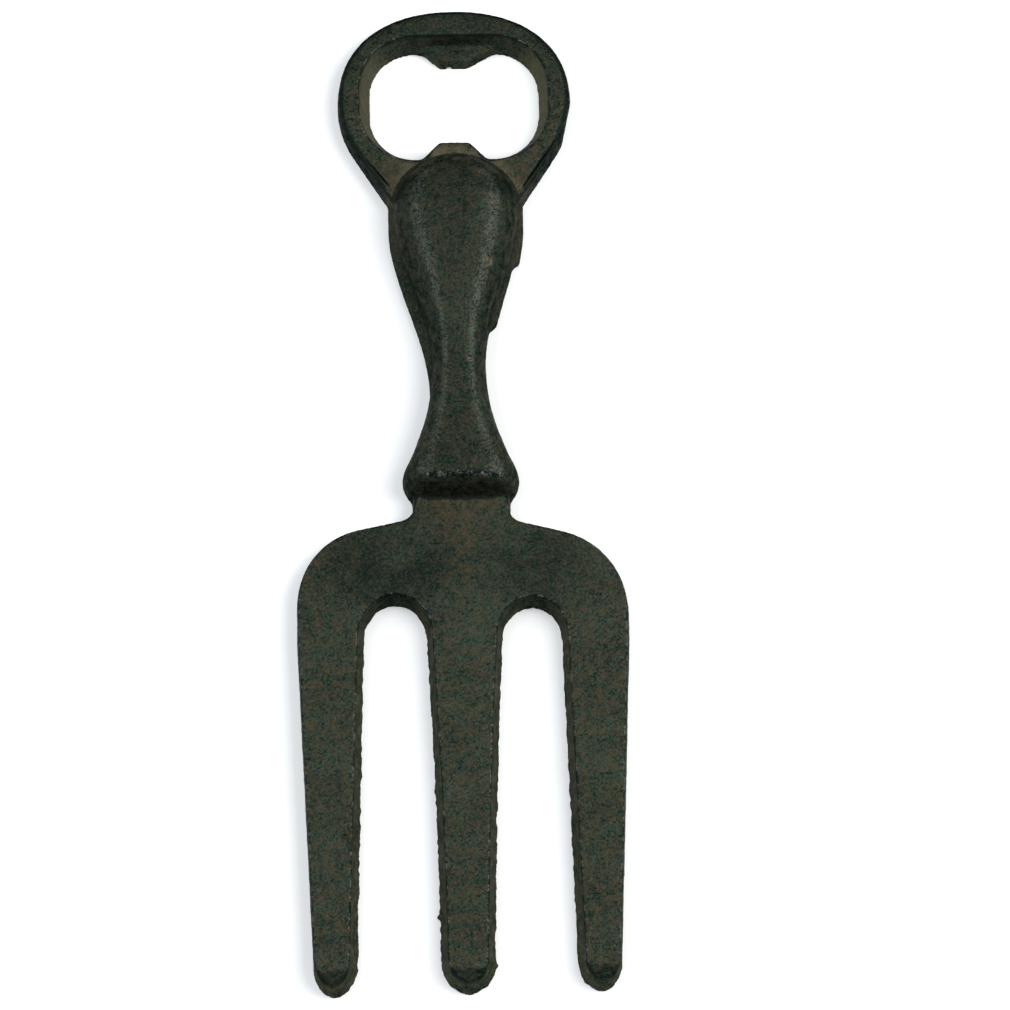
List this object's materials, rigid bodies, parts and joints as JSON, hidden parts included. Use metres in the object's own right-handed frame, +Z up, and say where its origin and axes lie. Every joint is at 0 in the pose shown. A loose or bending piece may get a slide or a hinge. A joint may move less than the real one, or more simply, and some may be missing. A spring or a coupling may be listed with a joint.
{
  "type": "bottle opener",
  "caption": "Flat-backed cast-iron bottle opener shaped like a garden hand fork: pear-shaped grip, oval cap window with lip and lobe, shouldered crown and straight tines.",
  "frame": {"origin": "middle of the flat back: halfway along the length, on the fork's centre line, at the face that lies on a table", "axes": "+X across the fork, +Y from the tines towards the opener, +Z up from the flat back"},
  "size_m": [0.0574, 0.1772, 0.013],
  "materials": {
    "cast_iron": "as sand-cast, dark brown-black with a thin rust-brown bloom on the flat faces"
  },
  "bodies": {
    "root": {"opener_ring": "cast_iron", "bearing_lobe": "cast_iron", "cap_lip": "cast_iron", "handle": "cast_iron", "fork_crown": "cast_iron", "tine_left": "cast_iron", "tine_middle": "cast_iron", "tine_right": "cast_iron", "parting_fin_left": "cast_iron", "parting_fin_right": "cast_iron"}
  },
  "joints": []
}
